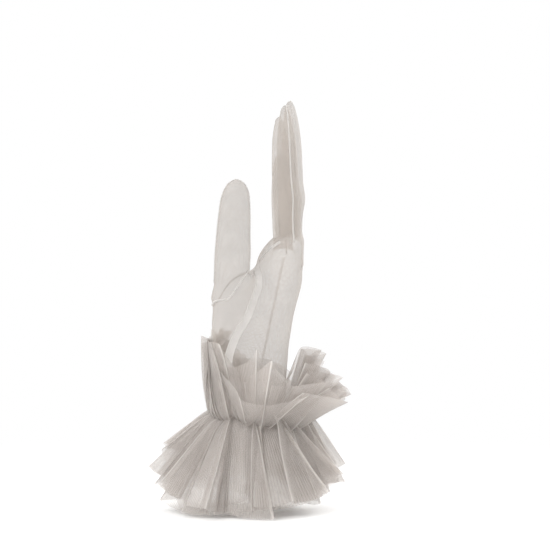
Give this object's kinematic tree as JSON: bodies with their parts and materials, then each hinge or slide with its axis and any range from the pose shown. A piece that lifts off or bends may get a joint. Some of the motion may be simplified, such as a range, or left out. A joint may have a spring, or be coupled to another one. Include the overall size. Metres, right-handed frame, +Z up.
{
  "type": "sheer dress glove",
  "caption": "Sheer tulle dress glove for one hand, with pointed fingertips and a gathered double ruffle flaring up and down from an elasticated wrist.",
  "frame": {"origin": "centre of the wrist opening, level with the gathering thread, on the wrist's axis", "axes": "+Z up along the fingers, +X out of the back of the hand, -Y towards the thumb side"},
  "size_m": [0.1357, 0.1114, 0.2777],
  "materials": {
    "glove_tulle": "sheer fine net, slightly glossy threads",
    "ruffle_tulle": "soft fine net, satin threads, raw cut edges",
    "seam": "stitched net seam allowance",
    "elastic": "flat braided elastic, matt",
    "thread": "spun sewing thread, satin"
  },
  "bodies": {
    "hand": {"palm_panel": "glove_tulle", "back_panel": "glove_tulle", "thumb_side_seam": "seam", "little_side_seam": "seam", "wrist_casing": "glove_tulle", "wrist_elastic": "elastic", "gathering_thread": "thread", "ruffle_inner": "ruffle_tulle", "ruffle_middle": "ruffle_tulle", "ruffle_outer": "ruffle_tulle"},
    "thumb": {"thumb_palm_side": "glove_tulle", "thumb_nail_side": "glove_tulle", "thumb_seam": "seam"},
    "index": {"index_palm_side": "glove_tulle", "index_back_side": "glove_tulle", "index_seam": "seam"},
    "middle": {"middle_palm_side": "glove_tulle", "middle_back_side": "glove_tulle", "middle_seam": "seam"},
    "ring": {"ring_palm_side": "glove_tulle", "ring_back_side": "glove_tulle", "ring_seam": "seam"},
    "little": {"little_palm_side": "glove_tulle", "little_back_side": "glove_tulle", "little_seam": "seam"}
  },
  "joints": [
    {"name": "thumb_spread", "type": "hinge", "parent": "hand", "child": "thumb", "pos_m": [-0.0148, -0.0375, 0.098], "axis": [0, -1, 0], "range_deg": [-4, 40]},
    {"name": "index_flex", "type": "hinge", "parent": "hand", "child": "index", "pos_m": [0.022, -0.0218, 0.119], "axis": [0, -1, 0], "range_deg": [-10, 75]},
    {"name": "middle_flex", "type": "hinge", "parent": "hand", "child": "middle", "pos_m": [0.022, -0.0046, 0.12], "axis": [0, -1, 0], "range_deg": [-10, 75]},
    {"name": "ring_flex", "type": "hinge", "parent": "hand", "child": "ring", "pos_m": [0.0207, 0.0124, 0.117], "axis": [0, -1, 0], "range_deg": [-10, 75]},
    {"name": "little_flex", "type": "hinge", "parent": "hand", "child": "little", "pos_m": [0.0195, 0.0282, 0.108], "axis": [0, -1, 0], "range_deg": [-10, 75]}
  ]
}
